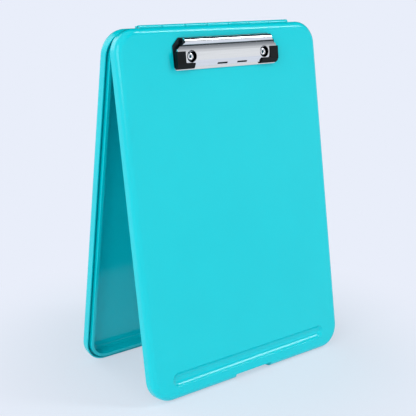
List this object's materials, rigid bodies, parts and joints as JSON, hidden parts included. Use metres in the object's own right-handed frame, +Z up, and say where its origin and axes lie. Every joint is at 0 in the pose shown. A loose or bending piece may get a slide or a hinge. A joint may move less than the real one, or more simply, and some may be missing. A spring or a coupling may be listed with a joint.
{
  "type": "storage clipboard",
  "caption": "Moulded storage clipboard standing open as a tent: a lid with a sprung metal clip and pen groove, hinged at its top edge to a shallow paper tray with a snap latch.",
  "frame": {"origin": "on the floor, under the middle of the standing object's box", "axes": "+X along the case hinge, to the right as the lid's face is seen; +Y from the lid towards the tray; +Z up"},
  "size_m": [0.24, 0.1324, 0.3385],
  "materials": {
    "turquoise_plastic": "satin-gloss moulded turquoise plastic, coloured through",
    "bright_plated_steel": "bright nickel-plated pressed steel",
    "pin_steel": "drawn bright steel",
    "spring_steel": "dark drawn spring wire",
    "black_rubber": "smooth black moulded rubber"
  },
  "bodies": {
    "tray": {"tray_shell": "turquoise_plastic", "hinge_pin": "pin_steel", "latch_pin": "pin_steel"},
    "lid": {"lid_shell": "turquoise_plastic", "clip_base_plate": "bright_plated_steel", "clip_pivot_rod": "pin_steel", "rivet_left": "bright_plated_steel", "rivet_right": "bright_plated_steel", "rivet_washer_left": "pin_steel", "rivet_washer_right": "pin_steel"},
    "jaw": {"clip_jaw": "bright_plated_steel", "corner_grip_left": "black_rubber", "corner_grip_right": "black_rubber", "clip_spring_left": "spring_steel", "clip_spring_right": "spring_steel"},
    "latch": {"latch_flap": "turquoise_plastic"}
  },
  "joints": [
    {"name": "case_hinge", "type": "hinge", "parent": "tray", "child": "lid", "pos_m": [0, -0.00006, 0.3363], "axis": [-1, 0, 0], "range_deg": [-18.62, 161.38]},
    {"name": "clip_jaw_hinge", "type": "hinge", "parent": "lid", "child": "jaw", "pos_m": [0, -0.01543, 0.31479], "axis": [-1, 0, 0], "range_deg": [0, 16], "stiffness_Nm_per_rad": 0.4, "springref_deg": -25.78},
    {"name": "latch_hinge", "type": "hinge", "parent": "tray", "child": "latch", "pos_m": [0, 0.0594, 0.00318], "axis": [1, 0, 0], "range_deg": [0, 80]}
  ]
}
